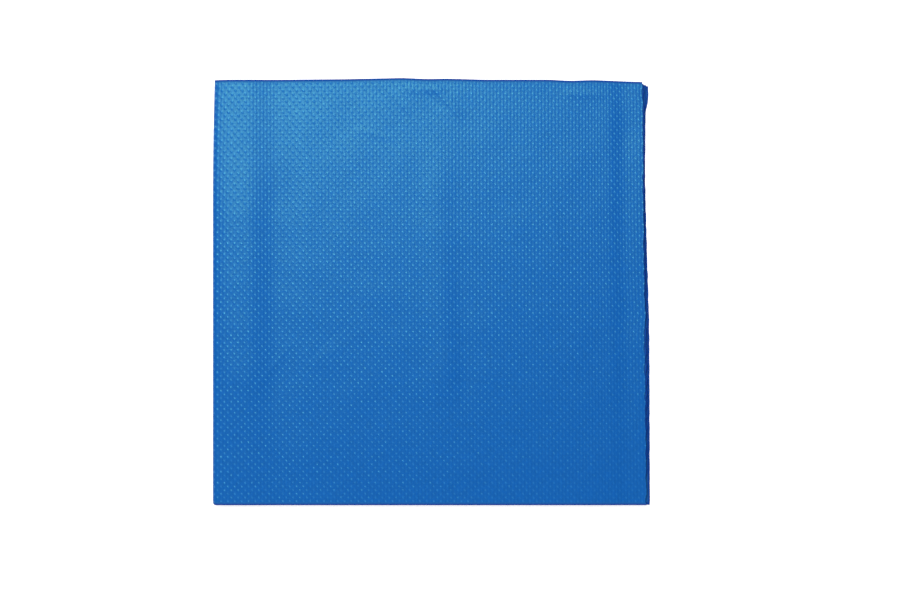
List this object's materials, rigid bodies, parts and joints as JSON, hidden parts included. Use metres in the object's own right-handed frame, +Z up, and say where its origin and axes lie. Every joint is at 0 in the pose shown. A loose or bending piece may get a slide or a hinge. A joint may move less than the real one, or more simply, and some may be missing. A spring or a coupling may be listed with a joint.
{
  "type": "paper napkin",
  "caption": "Small square tissue napkin folded in quarters: two folded sides, two sides of layered cut edges, for wiping or for a drink to stand on.",
  "frame": {"origin": "centre of the folded napkin in plan, on the surface it lies on", "axes": "+Z up through the four layers; -X is the last fold and +X the cut edges opposite it; -Y is the first fold and +Y the cut edges opposite it"},
  "size_m": [0.125, 0.122, 0.0029],
  "materials": {
    "tissue": "dyed embossed tissue, matt and slightly fuzzy"
  },
  "bodies": {
    "root": {"napkin_sheet": "tissue"}
  },
  "joints": []
}
